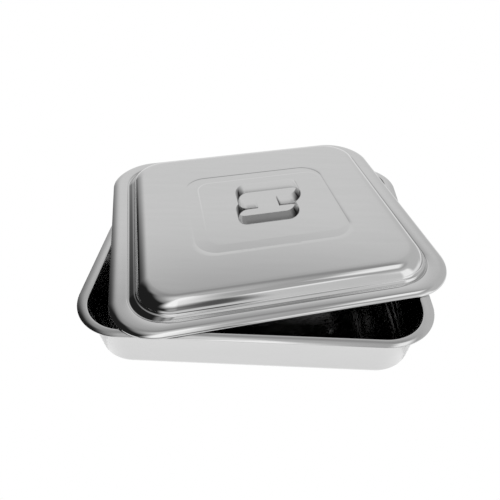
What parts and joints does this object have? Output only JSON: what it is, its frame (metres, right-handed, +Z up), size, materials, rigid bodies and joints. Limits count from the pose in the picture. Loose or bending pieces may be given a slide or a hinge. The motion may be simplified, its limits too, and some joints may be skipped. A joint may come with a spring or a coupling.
{
  "type": "instrument tray",
  "caption": "Rectangular steel instrument tray with rounded corners and a flat rim, and a loose domed lid with a recessed top and a bent strap handle, laid on askew.",
  "frame": {"origin": "centre of the pan's flat underside, on the surface it stands on", "axes": "+X along the pan's long side, +Y towards its far long side, +Z up"},
  "size_m": [0.3698, 0.3464, 0.1001],
  "materials": {
    "pan_steel": "bright polished stainless steel",
    "lid_steel": "mirror polished stainless steel",
    "handle_steel": "mirror polished stainless steel strip"
  },
  "bodies": {
    "tray": {"tray_pan": "pan_steel"},
    "lid": {"lid_shell": "lid_steel", "lid_handle": "handle_steel"}
  },
  "joints": [
    {"name": "lid_lift", "type": "slide", "parent": "tray", "child": "lid", "axis": [0, 0, 1], "range_m": [0, 0.15]}
  ]
}
